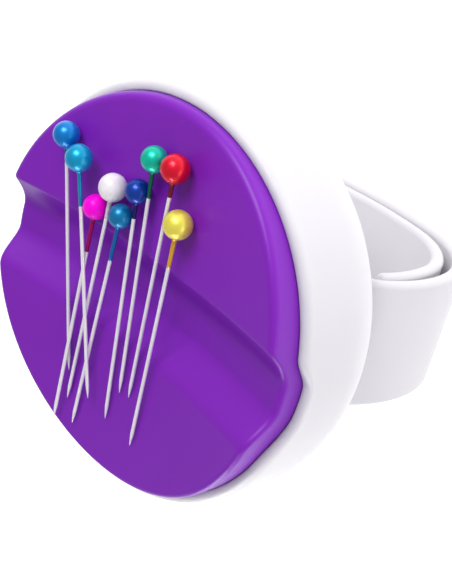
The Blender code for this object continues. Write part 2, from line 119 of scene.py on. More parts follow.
UNDER_MARGIN = 0.4 * MM  # rows under the cover end this far inside its wall
FLAT_MERGE = 1e-4  # points of a flat layout closer than this, in mm, are one
COVER_CREASE_DEG = 42  # edges sharper than this stay crisp
CASE_CREASE_DEG = 40
SMALL_CREASE_DEG = 35
PIN_CREASE_DEG = 60


def soft_positive(value, softness):
    """A rounded version of max(value, 0)."""
    if value > 20 * softness:
        return value
    return softness * math.log1p(math.exp(value / softness))


def groove_drop(y):
    """How far the groove lies under the face at this y."""
    if y > GROOVE_LOW_Y + GROOVE_LOW_WALL:
        inside = soft_positive(GROOVE_TOP_Y - y, GROOVE_TOP_SOFT)
        return GROOVE_DEPTH * math.sin(math.pi / 2 * min(inside / GROOVE_TOP_WALL, 1.0))
    share = max(0.0, (y - GROOVE_LOW_Y) / GROOVE_LOW_WALL)
    curve = (1 - math.cos(math.pi * share)) / 2
    return GROOVE_DEPTH * (curve + GROOVE_LOW_EDGE * share * (1 - share) ** 2)


def face_height(x, y):
    """The z of the face, before its edge is rounded."""
    return SEAM_Z + FACE_RISE + FACE_DISH * x * x - groove_drop(y)


def lip_drop(y):
    """How far the case's lip dips at this y, next to the groove's two ends."""
    share = min((LIP_DIP_TOP_Y - y) / LIP_DIP_TOP_RAMP, (y - LIP_DIP_LOW_Y) / LIP_DIP_LOW_RAMP)
    share = max(0.0, min(share, 1.0))
    return LIP_DIP * (1 - math.cos(math.pi * share)) / 2


# ---------------------------------------------------------------- mesh helpers


def finished(name, shape, sharp_deg=None):
    """A named object from a bmesh, shaded smooth, with its edges sharper than sharp_deg left crisp."""
    mesh = bpy.data.meshes.new(name)
    shape.to_mesh(mesh)
    shape.free()
    thing = bpy.data.objects.new(name, mesh)
    bpy.context.scene.collection.objects.link(thing)
    mesh.shade_smooth()
    if sharp_deg is not None:
        mesh.set_sharp_from_angle(angle=math.radians(sharp_deg))
    return thing


def bake_modifiers(thing):
    """Makes the object's modified mesh its own mesh."""
    bpy.context.view_layer.update()
    graph = bpy.context.evaluated_depsgraph_get()
    mesh = bpy.data.meshes.new_from_object(thing.evaluated_get(graph))
    thing.modifiers.clear()
    thing.data = mesh


def cut(target, tool, operation="DIFFERENCE"):
    """Cuts one closed mesh with another, or joins them, and removes the tool."""
    change = target.modifiers.new(tool.name, "BOOLEAN")
    change.operation = operation
    change.solver = "MANIFOLD"
    change.object = tool
    bake_modifiers(target)
    bpy.data.objects.remove(tool, do_unlink=True)


def arc(centre, radius, start_deg, end_deg, count):
    """Points along a circle's arc, both ends included."""
    points = []
    for i in range(count + 1):
        angle = math.radians(start_deg + (end_deg - start_deg) * i / count)
        points.append((centre[0] + radius * math.cos(angle), centre[1] + radius * math.sin(angle)))
    return points


def spun(profile, steps):
    """A bmesh of revolution round Z from (radius, z) points that run from one pole down the outer side."""
    shape = bmesh.new()
    rings = []
    for radius, z in profile:
        if radius < 1e-9:
            rings.append([shape.verts.new((0, 0, z))])
            continue
        ring = []
        for i in range(steps):
            angle = 2 * math.pi * i / steps
            ring.append(shape.verts.new((radius * math.cos(angle), radius * math.sin(angle), z)))
        rings.append(ring)
    for upper, lower in zip(rings, rings[1:]):
        for i in range(steps):
            j = (i + 1) % steps
            down = [upper[i % len(upper)], lower[i % len(lower)]]
            up = [lower[j % len(lower)], upper[j % len(upper)]]
            corners = list(dict.fromkeys(down + up))
            if len(corners) > 2:
                shape.faces.new(corners)
    bmesh.ops.recalc_face_normals(shape, faces=shape.faces)
    return shape


def rod(name, radius, low, high, x, y, sides=48):
    """An upright round bar from z = low to z = high."""
    shape = spun([(0, high), (radius, high), (radius, low), (0, low)], sides)
    bmesh.ops.translate(shape, verts=shape.verts, vec=(x, y, 0))
    return finished(name, shape)


# ---------------------------------------------------------------- materials


def new_material(name, colour, roughness, metallic=0.0, **more):
    """A Principled material with constant values on the shader's own sockets."""
    made = bpy.data.materials.new(name)
    made.use_nodes = True
    shader = made.node_tree.nodes["Principled BSDF"]
    shader.inputs["Base Color"].default_value = (*colour, 1.0)
    shader.inputs["Roughness"].default_value = roughness
    shader.inputs["Metallic"].default_value = metallic
    for socket, value in more.items():
        shader.inputs[socket.replace("_", " ")].default_value = value
    return made


def noise_of(material, scale, detail=3.0, stretch=(1, 1, 1)):
    """A noise texture in the piece's own coordinates: scale is its features per metre."""
    nodes, links = material.node_tree.nodes, material.node_tree.links
    place = nodes.new("ShaderNodeTexCoord")
    squeeze = nodes.new("ShaderNodeMapping")
    squeeze.inputs["Scale"].default_value = stretch
    noise = nodes.new("ShaderNodeTexNoise")
    noise.inputs["Scale"].default_value = scale
    noise.inputs["Detail"].default_value = detail
    links.new(place.outputs["Object"], squeeze.inputs["Vector"])
    links.new(squeeze.outputs["Vector"], noise.inputs["Vector"])
    return noise


def vary_colour(material, noise, dark, light):
    """Lets the colour drift between two shades."""
    nodes, links = material.node_tree.nodes, material.node_tree.links
    ramp = nodes.new("ShaderNodeValToRGB")
    ramp.color_ramp.elements[0].position = 0.3
    ramp.color_ramp.elements[1].position = 0.7
    ramp.color_ramp.elements[0].color = (*dark, 1.0)
    ramp.color_ramp.elements[1].color = (*light, 1.0)
    links.new(noise.outputs["Fac"], ramp.inputs["Fac"])
    links.new(ramp.outputs["Color"], nodes["Principled BSDF"].inputs["Base Color"])


def vary_roughness(material, noise, low, high):
    """Lets the roughness drift between two values."""
    nodes, links = material.node_tree.nodes, material.node_tree.links
    spread = nodes.new("ShaderNodeMapRange")
    spread.inputs["To Min"].default_value = low
    spread.inputs["To Max"].default_value = high
    links.new(noise.outputs["Fac"], spread.inputs["Value"])
    links.new(spread.outputs["Result"], nodes["Principled BSDF"].inputs["Roughness"])


def add_bump(material, noise, height):
    """Fine relief of this height in metres."""
    nodes, links = material.node_tree.nodes, material.node_tree.links
    bump = nodes.new("ShaderNodeBump")
    bump.inputs["Strength"].default_value = 1.0
    bump.inputs["Distance"].default_value = height
    links.new(noise.outputs["Fac"], bump.inputs["Height"])
    links.new(bump.outputs["Normal"], nodes["Principled BSDF"].inputs["Normal"])


def scaled(colour, factor):
    """The colour made lighter or darker by this factor."""
    return tuple(min(1.0, c * factor) for c in colour)


def plastic_look(name, colour, roughness, spread=0.02, peel=0.004 * MM, **more):
    """Moulded plastic: faint colour drift, uneven gloss and a fine orange-peel surface."""
    made = new_material(name, colour, roughness, **more)
    drift = noise_of(made, 45.0, 2.0)
    vary_colour(made, drift, scaled(colour, 1 - spread), scaled(colour, 1 + spread))
    vary_roughness(made, noise_of(made, 140.0, 4.0), roughness - 0.03, roughness + 0.04)
    add_bump(made, noise_of(made, 1600.0, 2.0), peel)
    return made


def metal_look(name, colour, roughness, stretch=(1, 1, 1), grain=2500.0, metallic=1.0):
    """Bare or plated metal with a fine grain, drawn out along an axis where stretch is small."""
    made = new_material(name, colour, roughness, metallic)
    scratches = noise_of(made, grain, 4.0, stretch)
    vary_roughness(made, scratches, roughness * 0.75, roughness * 1.3)
    vary_colour(made, scratches, scaled(colour, 0.93), scaled(colour, 1.04))
    return made


def pearl_look(name, colour, shaded_neck_colour, neck_z, metallic, gloss):
    """Pearlised lacquer: a clear coat over swirling paint, and on the neck a plain colour, its own paint
    darkened by painted shade.
    """
    made = new_material(
        name, colour, 0.38, metallic,
        Coat_Weight=gloss, Coat_Roughness=0.12, Specular_IOR_Level=gloss * 0.7,
    )
    vary_colour(made, noise_of(made, 900.0, 3.0), scaled(colour, 0.92), scaled(colour, 1.12))
    nodes, links = made.node_tree.nodes, made.node_tree.links
    base = nodes["Principled BSDF"].inputs["Base Color"]
    swirl = base.links[0].from_socket
    place = nodes.new("ShaderNodeTexCoord")
    parts = nodes.new("ShaderNodeSeparateXYZ")
    along = nodes.new("ShaderNodeMapRange")
    along.inputs["From Min"].default_value = neck_z - 0.2 * MM
    along.inputs["From Max"].default_value = neck_z + 0.1 * MM
    blend = nodes.new("ShaderNodeMix")
    blend.data_type = "RGBA"
    factor, first, second = blend.inputs[0], blend.inputs[6], blend.inputs[7]
    # the neck's plain colour is its own paint darkened by painted shade
    first.default_value = (*shaded_neck_colour, 1.0)
    links.new(place.outputs["Object"], parts.inputs["Vector"])
    links.new(parts.outputs["Z"], along.inputs["Value"])
    links.new(along.outputs["Result"], factor)
    links.new(swirl, second)
    links.new(blend.outputs[2], base)
    return made


def linear(red, green, blue):
    """Linear colour from display values of 0 to 255."""
    values = []
    for value in (red, green, blue):
        share = value / 255
        values.append(share / 12.92 if share <= 0.04045 else ((share + 0.055) / 1.055) ** 2.4)
    return tuple(values)


CASE_LOOK = plastic_look(
    "moulded_white", linear(217, 214, 219), 0.42, 0.01,
    Subsurface_Weight=0.9, Subsurface_Radius=(1.0, 0.97, 1.0), Subsurface_Scale=3.5 * MM,
)
COVER_LOOK = plastic_look("moulded_purple", linear(127, 33, 181), 0.34, 0.03, Specular_IOR_Level=0.25)
BRIDGE_LOOK = plastic_look("bridge_white", linear(212, 210, 215), 0.42, 0.01, 0.006 * MM)
SILICONE_LOOK = plastic_look("silicone_white", linear(214, 211, 216), 0.55, 0.01, 0.006 * MM)
SPRING_LOOK = metal_look("spring_steel", (0.56, 0.56, 0.57), 0.28, (0.05, 1, 1))
FERRITE_LOOK = plastic_look("sintered_ferrite", (0.035, 0.035, 0.04), 0.6, 0.15, 0.03 * MM)
KEEPER_LOOK = metal_look("zinc_plated_steel", (0.55, 0.56, 0.58), 0.35, grain=900.0)
SCREW_LOOK = metal_look("screw_steel", (0.62, 0.61, 0.60), 0.25)
PIN_STEEL_LOOK = metal_look("nickel_plated_wire", (0.95, 0.90, 0.93), 0.30, (1, 1, 0.05), 5000.0, 0.3)

# name: pearl diameter and painted neck's length in mm, colour of the pearl, and of the neck: its own paint
# colour darkened by painted shade
PINS = {
    "blue": (4.5, 0.8, linear(0, 126, 208), linear(0, 80, 150)),
    "teal": (4.6, 5.1, linear(0, 158, 206), linear(0, 146, 190)),
    "magenta": (4.2, 5.5, linear(255, 0, 214), linear(150, 6, 90)),
    "white": (4.7, 2.6, linear(238, 230, 237), linear(216, 206, 216)),
    "navy": (4.1, 2.0, linear(0, 58, 162), linear(10, 20, 96)),
    "steel_blue": (4.1, 5.6, linear(0, 122, 176), linear(0, 100, 176)),
    "green": (4.3, 3.7, linear(0, 196, 166), linear(0, 104, 80)),
    "red": (4.7, 1.8, linear(226, 0, 44), linear(120, 6, 38)),
    "yellow": (4.7, 4.5, linear(255, 232, 92), linear(230, 176, 48)),
}


def wear(thing, material, body, nodes):
    """Gives a piece its look, body and material slot, and hides the imported nodes that it stands for."""
    thing.data.materials.clear()
    thing.data.materials.append(material)
    if body is not None:
        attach(thing, body)
    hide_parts(*nodes)


# ---------------------------------------------------------------- cover


def cover_rows():
    """The y of each row of points across the face, close together where the groove bends."""
    rows = set()
    count = int(2 * COVER_RADIUS / ROW_STEP)
    for i in range(1, count):
        rows.add(round(-COVER_RADIUS + 2 * COVER_RADIUS * i / count, 6))
    for i in range(WALL_ROWS + 1):
        rows.add(round(GROOVE_LOW_Y + GROOVE_LOW_WALL * i / WALL_ROWS, 6))
        rows.add(round(GROOVE_TOP_Y - GROOVE_TOP_WALL * i / WALL_ROWS, 6))
    for i in range(-EDGE_ROWS, EDGE_ROWS + 1):
        rows.add(round(GROOVE_TOP_Y + EDGE_ROW_STEP * i, 6))
    ordered = sorted(rows)
    kept = [ordered[0]]
    for y in ordered[1:]:
        if y - kept[-1] > LEAST_ROW_GAP:
            kept.append(y)
    return kept


def rim_rings():
    """The radius of each ring of points on the rim's rounded edge, the smallest first."""
    rings = []
    for i in range(RIM_STEPS + 1):
        turn = math.pi / 2 * i / RIM_STEPS
        rings.append(COVER_RADIUS - RIM_ROUND_HIGH * (1 - math.sin(turn)))
    return rings


def rim_drop(x, y):
    """How far the rounded edge lies under the face here: the edge is softest at the face's +Y side."""
    radius = math.hypot(x, y)
    share = (1 + y / COVER_RADIUS) / 2
    rounding = RIM_ROUND_LOW + (RIM_ROUND_HIGH - RIM_ROUND_LOW) * share
    into = rounding - (COVER_RADIUS - radius)
    if into <= 0:
        return 0.0
    return rounding - math.sqrt(max(0.0, rounding**2 - into**2))


def face_layout():
    """Points and edges of the face seen from above, in mm: rings round its rim, and rows across it."""
    points, edges = [], []
    rings = rim_rings()
    for radius in rings:
        first = len(points)
        for i in range(ROUND_STEPS):
            angle = 2 * math.pi * i / ROUND_STEPS
            points.append(Vector((radius * math.cos(angle), radius * math.sin(angle))) / MM)
            edges.append((first + i, first + (i + 1) % ROUND_STEPS))
    inner = rings[0]
    for y in cover_rows():
        if abs(y) >= inner - FIT:
            continue
        stations = max(4, int(2 * math.sqrt(COVER_RADIUS**2 - y * y) / ROW_POINT_STEP))
        half = math.sqrt(inner**2 - y * y)
        previous = None
        for i in range(stations + 1):
            points.append(Vector((half * (2 * i / stations - 1), y)) / MM)
            if previous is not None:
                edges.append((previous, len(points) - 1))
            previous = len(points) - 1
    return points, edges


def make_cover():
    """The magnetic face: a dished disc with a groove across it, a rounded rim and a skirt."""
    points, edges = face_layout()
    flat, _, faces, _, _, _ = delaunay_2d_cdt(points, edges, [], 0, FLAT_MERGE)
    shape = bmesh.new()
    top = []
    for place in flat:
        x, y = place.x * MM, place.y * MM
        top.append(shape.verts.new((x, y, face_height(x, y) - rim_drop(x, y))))
    for face in faces:
        shape.faces.new([top[i] for i in face])
    bmesh.ops.recalc_face_normals(shape, faces=shape.faces)
    rim = [v for v in top if math.hypot(v.co.x, v.co.y) > COVER_RADIUS - 0.01 * MM]
    rim.sort(key=lambda v: math.atan2(v.co.y, v.co.x))
    add_skirt(shape, rim)
    bmesh.ops.recalc_face_normals(shape, faces=shape.faces)
    cover = finished("magnetic_face_cover", shape, COVER_CREASE_DEG)
    wear(cover, COVER_LOOK, "case", ["front_cover"])


def add_skirt(shape, rim):
    """The wall under the cover's rim, and the cover's underside."""
    ring = rim
    for level in range(1, SKIRT_LEVELS + 1):
        share = level / SKIRT_LEVELS
        lower = [shape.verts.new((v.co.x, v.co.y, v.co.z + (SKIRT_LOW_Z - v.co.z) * share)) for v in rim]
        join_rings(shape, ring, lower)
        ring = lower
    pulled = (COVER_RADIUS - COVER_WALL) / COVER_RADIUS
    inside_low = [shape.verts.new((v.co.x * pulled, v.co.y * pulled, SKIRT_LOW_Z)) for v in rim]
    join_rings(shape, ring, inside_low)
    inside_high = []
    for v in inside_low:
        inside_high.append(shape.verts.new((v.co.x, v.co.y, face_height(v.co.x, v.co.y) - COVER_WALL)))
    join_rings(shape, inside_low, inside_high)
    close_under(shape, inside_high)


def join_rings(shape, upper, lower):
    """A band of faces between two rings of the same count."""
    for i in range(len(upper)):
        j = (i + 1) % len(upper)
        shape.faces.new((upper[i], lower[i], lower[j], upper[j]))


def close_under(shape, ring):
    """Closes the cover's underside with rows that follow the groove."""
    points = [Vector((v.co.x, v.co.y)) / MM for v in ring]
    edges = [(i, (i + 1) % len(ring)) for i in range(len(ring))]
    reach = COVER_RADIUS - COVER_WALL
    for y in cover_rows()[::2]:
        if abs(y) > reach - 2 * UNDER_MARGIN:
            continue
        half = math.sqrt(reach**2 - y * y) - UNDER_MARGIN
        stations = max(3, int(2 * half / UNDER_POINT_STEP))
        for i in range(stations + 1):
            points.append(Vector((half * (2 * i / stations - 1), y)) / MM)
    flat, _, faces, sources, _, _ = delaunay_2d_cdt(points, edges, [], 0, FLAT_MERGE)
    verts = []
    for place, source in zip(flat, sources):
        on_ring = [s for s in source if s < len(ring)]
        if on_ring:
            verts.append(ring[on_ring[0]])
            continue
        x, y = place.x * MM, place.y * MM
        verts.append(shape.verts.new((x, y, face_height(x, y) - COVER_WALL)))
    for face in faces:
        shape.faces.new([verts[i] for i in reversed(face)])


# ---------------------------------------------------------------- case, bridge and screws

_, MAGNET_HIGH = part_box("magnet_disc")
KEEPER_LOW, KEEPER_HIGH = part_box("keeper_plate")
SEAT_TOP_Z = KEEPER_LOW.z - FIT
SEAT_IN_RADIUS, SEAT_OUT_RADIUS = 20.0 * MM, 21.6 * MM
RIM_IN_RADIUS, RIM_OUT_RADIUS = MAGNET_HIGH.x + 0.4 * MM, MAGNET_HIGH.x + 1.8 * MM
RIM_TOP_Z = KEEPER_HIGH.z + 1.5 * MM
SCREW_NODES = [f"bridge_screw_{i}" for i in range(1, 5)]
SCREW_SHAFT_RADIUS = 1.0 * MM
SCREW_HEAD_RADIUS = 1.8 * MM
SCREW_HEAD_THICK = 1.1 * MM
BOSS_RADIUS = 2.8 * MM
BOSS_HEIGHT = 5.0 * MM
SCREW_HEAD_ROUND = 0.5 * MM
SCREW_POINT = 0.8 * MM
RECESS_REACH = 1.1 * MM
RECESS_HALF_WIDTH = 0.17 * MM
RECESS_DEPTH = 0.6 * MM
BRIDGE_ROUND = 0.8 * MM
CHANNEL_ROOM = 0.8 * MM  # between the band's edge and the bridge's channel


def screw_places():
    """x, y, and the z of the head and of the tip, of each screw."""
    places = []
    for node in SCREW_NODES:
        low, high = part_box(node)
        places.append(((low.x + high.x) / 2, (low.y + high.y) / 2, low.z, high.z))
    return places


def case_profile():
    """The case's section as (radius, z) points: the inside from the middle out, the mouth, the outside."""
    floor_z = CASE_BACK_Z + CASE_WALL
    flat = CASE_RADIUS - CASE_BACK_ROUND
    back_centre = (flat, CASE_BACK_Z + CASE_BACK_ROUND)
    inner_round = CASE_BACK_ROUND - CASE_WALL
    rim_foot_deg = -math.degrees(math.acos((RIM_OUT_RADIUS - flat) / inner_round))
    profile = [(0.0, floor_z), (SEAT_IN_RADIUS, floor_z), (SEAT_IN_RADIUS, SEAT_TOP_Z)]
    profile += [(SEAT_OUT_RADIUS, SEAT_TOP_Z), (SEAT_OUT_RADIUS, floor_z), (RIM_IN_RADIUS, floor_z)]
    profile += [(RIM_IN_RADIUS, RIM_TOP_Z), (RIM_OUT_RADIUS, RIM_TOP_Z)]
    profile += arc(back_centre, inner_round, rim_foot_deg, 0, 12)
    ledge_z = SEAM_Z - LEDGE_DROP
    profile += [(CASE_RADIUS - CASE_WALL, ledge_z - LEDGE_THICK - LEDGE_TAPER)]
    profile += [(LEDGE_RADIUS, ledge_z - LEDGE_THICK), (LEDGE_RADIUS, ledge_z), (MOUTH_RADIUS, ledge_z)]
    for share in (0.25, 0.5, 0.75):
        profile.append((MOUTH_RADIUS, ledge_z + (LEDGE_DROP - MOUTH_ROUND) * share))
    profile += arc((MOUTH_RADIUS + MOUTH_ROUND, SEAM_Z - MOUTH_ROUND), MOUTH_ROUND, 180, 90, 5)
    profile += arc((CASE_RADIUS - CASE_LIP_ROUND, SEAM_Z - CASE_LIP_ROUND), CASE_LIP_ROUND, 90, 0, 10)
    for share in (0.3, 0.6, 1.0):
        profile.append((CASE_RADIUS, SEAM_Z - CASE_LIP_ROUND - (LEDGE_DROP - CASE_LIP_ROUND) * share))
    profile += arc(back_centre, CASE_BACK_ROUND, 0, -90, 28)
    profile.append((0.0, CASE_BACK_Z))
    return profile


def make_case():
    """The round white cup under the magnetic face."""
    shape = spun(case_profile(), ROUND_STEPS)
    ledge_z = SEAM_Z - LEDGE_DROP
    for vertex in shape.verts:
        above = (vertex.co.z - ledge_z) / LEDGE_DROP
        if above > 0.01 and math.hypot(vertex.co.x, vertex.co.y) > LEDGE_RADIUS + MM:
            vertex.co.z -= lip_drop(vertex.co.y) * above
    case = finished("case_cup", shape)
    floor_z = CASE_BACK_Z + CASE_WALL
    for i, (x, y, _, tip_z) in enumerate(screw_places()):
        cut(case, rod(f"boss_{i}", BOSS_RADIUS, floor_z - MM, floor_z + BOSS_HEIGHT, x, y), "UNION")
        cut(case, rod(f"hole_{i}", SCREW_SHAFT_RADIUS + FIT, CASE_BACK_Z - MM, tip_z + FIT, x, y))
    case.data.shade_smooth()
    case.data.set_sharp_from_angle(angle=math.radians(CASE_CREASE_DEG))
    wear(case, CASE_LOOK, "case", ["case_body"])


def rounded_block(name, low, high, rounding=0.0, segments=1):
    """A box between two corners, with its edges rounded if rounding is given."""
    shape = bmesh.new()
    bmesh.ops.create_cube(shape, size=1.0)
    bmesh.ops.scale(shape, verts=shape.verts, vec=high - low)
    bmesh.ops.translate(shape, verts=shape.verts, vec=(low + high) / 2)
    if rounding:
        bmesh.ops.bevel(
            shape, geom=shape.edges[:], offset=rounding, segments=segments, profile=0.5, affect="EDGES"
        )
    return finished(name, shape)


def make_bridge():
    """The plate that clamps the band to the case's back."""
    bridge = rounded_block("band_bridge_plate", BRIDGE_LOW, BRIDGE_HIGH, BRIDGE_ROUND, 6)
    half_channel = BAND_WIDTH / 2 + CHANNEL_ROOM
    channel_low = Vector((BRIDGE_LOW.x - MM, -half_channel, BRIDGE_THICK))
    channel_high = Vector((BRIDGE_HIGH.x + MM, half_channel, BRIDGE_HIGH.z + MM))
    cut(bridge, rounded_block("channel", channel_low, channel_high))
    for i, (x, y, _, _) in enumerate(screw_places()):
        cut(bridge, rod(f"sink_{i}", SCREW_HEAD_RADIUS + FIT, -MM, SCREW_HEAD_THICK + FIT, x, y))
        cut(bridge, rod(f"way_{i}", SCREW_SHAFT_RADIUS + FIT, -MM, BRIDGE_HIGH.z + MM, x, y))
    bridge.data.shade_smooth()
    bridge.data.set_sharp_from_angle(angle=math.radians(SMALL_CREASE_DEG))
    wear(bridge, BRIDGE_LOOK, "case", ["band_bridge"])


def make_screws():
    """Pan-head screws with a cross recess."""
    for i, (x, y, head_z, tip_z) in enumerate(screw_places()):
        top = head_z + SCREW_HEAD_THICK
        profile = [(0.0, tip_z), (SCREW_SHAFT_RADIUS * 0.5, tip_z)]
        profile += [(SCREW_SHAFT_RADIUS, tip_z - SCREW_POINT), (SCREW_SHAFT_RADIUS, top)]
        profile += [(SCREW_HEAD_RADIUS, top)]
        edge_centre = (SCREW_HEAD_RADIUS - SCREW_HEAD_ROUND, head_z + SCREW_HEAD_ROUND)
        profile += arc(edge_centre, SCREW_HEAD_ROUND, 0, -75, 6)
        profile.append((0.0, head_z))
        screw = finished(f"bridge_screw_pan_{i + 1}", spun(profile, 48))
        for reach_x, reach_y in ((RECESS_REACH, RECESS_HALF_WIDTH), (RECESS_HALF_WIDTH, RECESS_REACH)):
            low = Vector((-reach_x, -reach_y, head_z - MM))
            high = Vector((reach_x, reach_y, head_z + RECESS_DEPTH))
            cut(screw, rounded_block("recess", low, high))
        screw.location = (x, y, 0)
        screw.data.shade_smooth()
        screw.data.set_sharp_from_angle(angle=math.radians(SMALL_CREASE_DEG))
        wear(screw, SCREW_LOOK, "case", [SCREW_NODES[i]])


# ---------------------------------------------------------------- band

ARM_LENGTH = 114.5 * MM
HINGE_SHARES = (2, 1, 1, 1, 1, 1)
SLEEVE_CORNER = 0.95 * MM
TIP_CORNER = 1.6 * MM
RING_STEP = 0.55 * MM
CORNER_BLEND = 4.6 * MM  # reach of the bend on either side of the tight corner's hinge
ROOT_REACH = 3.5 * MM  # how much further the first length goes back towards the band's middle
SLEEVE_CORNER_STEPS = 7
TIP_RINGS = 14
STRIP_SHORTER = 2.5 * MM  # the strip ends this far before the sleeve's tip


def arm_turns(flat, corner, side, low_corner):
    """The arm's course as (length, turning in degrees) steps, from the case round and across below."""
    turns = [(corner, 68.0), (side, 32.0), (low_corner, 68.0)]
    reach, heading = flat, 0.0
    for radius, turn in turns:
        after = heading + math.radians(turn)
        reach += radius * (math.sin(after) - math.sin(heading))
        heading = after
    bottom = reach / math.sin(math.pi - heading)
    steps = [(flat, 0.0)]
    turns += [(bottom, 24.0), (low_corner, 68.0), (side, 32.0)]
    steps += [(radius * math.radians(turn), turn) for radius, turn in turns]
    used, course = 0.0, []
    for length, turn in steps:
        share = min(1.0, (ARM_LENGTH - used) / length)
        course.append((length * share, turn * share))
        used += length * share
        if share < 1.0:
            break
    return course


ARMS = {
    "outer": (1, arm_turns(20.5 * MM, 6.3 * MM, 28.0 * MM, 18.0 * MM)),
    "inner": (-1, arm_turns(18.1 * MM, 5.5 * MM, 26.0 * MM, 15.0 * MM)),
}


def arm_point(arm, distance):
    """The x and z of the arm's middle surface at this distance along it, and its turning there."""
    sign, course = ARMS[arm]
    x, z, turned_by, left = 0.0, BAND_MID_Z, 0.0, distance
    for length, turn in course:
        step = min(left, length)
        part = math.radians(turn) * step / length
        if turn > 0.0:
            radius = length / math.radians(turn)
            x += radius * (math.sin(turned_by + part) - math.sin(turned_by))
            z -= radius * (math.cos(turned_by) - math.cos(turned_by + part))
        else:
            x += step * math.cos(turned_by)
            z -= step * math.sin(turned_by)
        turned_by += part
        left -= step
        if left <= 0.0:
            break
    return sign * x, z, turned_by


def hinge_turns(arm):
    """How far each of the arm's hinges turns to lay it straight."""
    whole = math.radians(sum(turn for _, turn in ARMS[arm][1]))
    return [whole * share / sum(HINGE_SHARES) for share in HINGE_SHARES]


def hinge_distance(arm, index):
    """How far along the arm this hinge lies: at the middle of its share of the curl."""
    turns = hinge_turns(arm)
    wanted = sum(turns[:index]) + turns[index] / 2
    used, turned_by = 0.0, 0.0
    for length, turn in ARMS[arm][1]:
        turn = math.radians(turn)
        if turned_by + turn >= wanted:
            return used + length * (wanted - turned_by) / turn
        used += length
        turned_by += turn
    return used


def rounded_section(width, thick, corner, steps):
    """A rounded oblong as (y, height, normal y, normal height) points, round the band's section."""
    half, tall = width / 2, thick / 2
    corner = min(corner, tall)
    ring = []
    for sy, sh, start in ((1, -1, -90), (1, 1, 0), (-1, 1, 90), (-1, -1, 180)):
        for i in range(steps + 1):
            angle = math.radians(start + 90 * i / steps)
            ny, nh = math.cos(angle), math.sin(angle)
            ring.append((sy * (half - corner) + corner * ny, sh * (tall - corner) + corner * nh, ny, nh))
    return ring


def placed_ring(section, arm, distance):
    """World places and normals of a section set across the arm at this distance."""
    x, z, turned_by = arm_point(arm, distance)
    sign = ARMS[arm][0]
    out = Vector((sign * math.sin(turned_by), 0.0, math.cos(turned_by)))
    across = Vector((0.0, 1.0, 0.0))
    middle = Vector((x, 0.0, z))
    places = [middle + across * y + out * height for y, height, _, _ in section]
    normals = [across * ny + out * nh for _, _, ny, nh in section]
    return places, normals


def swept(name, rings):
    """A closed tube through (places, normals) rings. Exact normals on its skin let its ends join unseen."""
    mesh = bpy.data.meshes.new(name)
    count = len(rings[0][0])
    places = [p for ring, _ in rings for p in ring]
    normals = [n for _, ring in rings for n in ring]
    faces = []
    for k in range(len(rings) - 1):
        for i in range(count):
            j = (i + 1) % count
            faces.append((k * count + i, k * count + j, (k + 1) * count + j, (k + 1) * count + i))
    skin = len(faces)
    faces.append(tuple(range(count - 1, -1, -1)))
    faces.append(tuple((len(rings) - 1) * count + i for i in range(count)))
    first = Vector(places[faces[0][1]]) - Vector(places[faces[0][0]])
    second = Vector(places[faces[0][3]]) - Vector(places[faces[0][0]])
    if first.cross(second).dot(normals[0]) < 0:
        faces = [tuple(reversed(f)) for f in faces]
    mesh.from_pydata([tuple(p) for p in places], [], faces)
    mesh.shade_smooth()
    loops = []
    for polygon in mesh.polygons:
        for index in polygon.vertices:
            loops.append(tuple(normals[index]) if polygon.index < skin else tuple(polygon.normal))
    mesh.normals_split_custom_set(loops)
    thing = bpy.data.objects.new(name, mesh)
    bpy.context.scene.collection.objects.link(thing)
    return thing


def arm_rings(section_at, arm, start, end):
    """Rings along the arm from start to end, with the section that section_at gives at each distance."""
    count = max(2, math.ceil((end - start) / RING_STEP))
    rings = []
    for i in range(count + 1):
        distance = start + (end - start) * i / count
        rings.append(placed_ring(section_at(distance), arm, distance))
    return rings


def plain_sleeve(_):
    """The sleeve's section, the same at any distance."""
    return rounded_section(BAND_WIDTH, BAND_THICK, SLEEVE_CORNER, SLEEVE_CORNER_STEPS)


def tip_sleeve(distance):
    """The sleeve's section towards its tip, which is rounded in plan and at its edge."""
    left = max(0.0, ARM_LENGTH - distance)
    width = BAND_WIDTH
    if left < TIP_CORNER:
        into = TIP_CORNER - left
        width -= 2 * (TIP_CORNER - math.sqrt(max(0.0, TIP_CORNER**2 - into**2)))
    thick = BAND_THICK
    if left < SLEEVE_CORNER:
        into = SLEEVE_CORNER - left
        shrink = SLEEVE_CORNER - math.sqrt(max(0.0, SLEEVE_CORNER**2 - into**2))
        thick -= 2 * shrink
        width -= 2 * shrink
    return rounded_section(width, thick, SLEEVE_CORNER, SLEEVE_CORNER_STEPS)


def plain_strip(_):
    """The spring strip's section, the same at any distance."""
    return rounded_section(STRIP_WIDTH, STRIP_THICK, STRIP_THICK / 2, 2)


def tip_rings(arm, start):
    """Rings to the sleeve's tip, closer together where it rounds off."""
    rings = arm_rings(tip_sleeve, arm, start, ARM_LENGTH - TIP_CORNER)
    for i in range(1, TIP_RINGS + 1):
        left = TIP_CORNER * (1 - math.sin(math.pi / 2 * i / TIP_RINGS))
        rings.append(placed_ring(tip_sleeve(ARM_LENGTH - left), arm, ARM_LENGTH - left))
    return rings


def lengths(arm):
    """An arm's hinges, and the cuts halfway between them where its lengths meet, as distances along it."""
    hinges = [hinge_distance(arm, i) for i in range(len(HINGE_SHARES))]
    cuts = [hinges[0] - CORNER_BLEND - ROOT_REACH]
    cuts += [(a + b) / 2 for a, b in zip(hinges, hinges[1:])]
    cuts.append((hinges[-1] + ARM_LENGTH) / 2)
    return hinges, cuts


def point_on(arm, distance):
    """A point on the arm's middle surface."""
    x, z, _ = arm_point(arm, distance)
    return (x, 0.0, z)


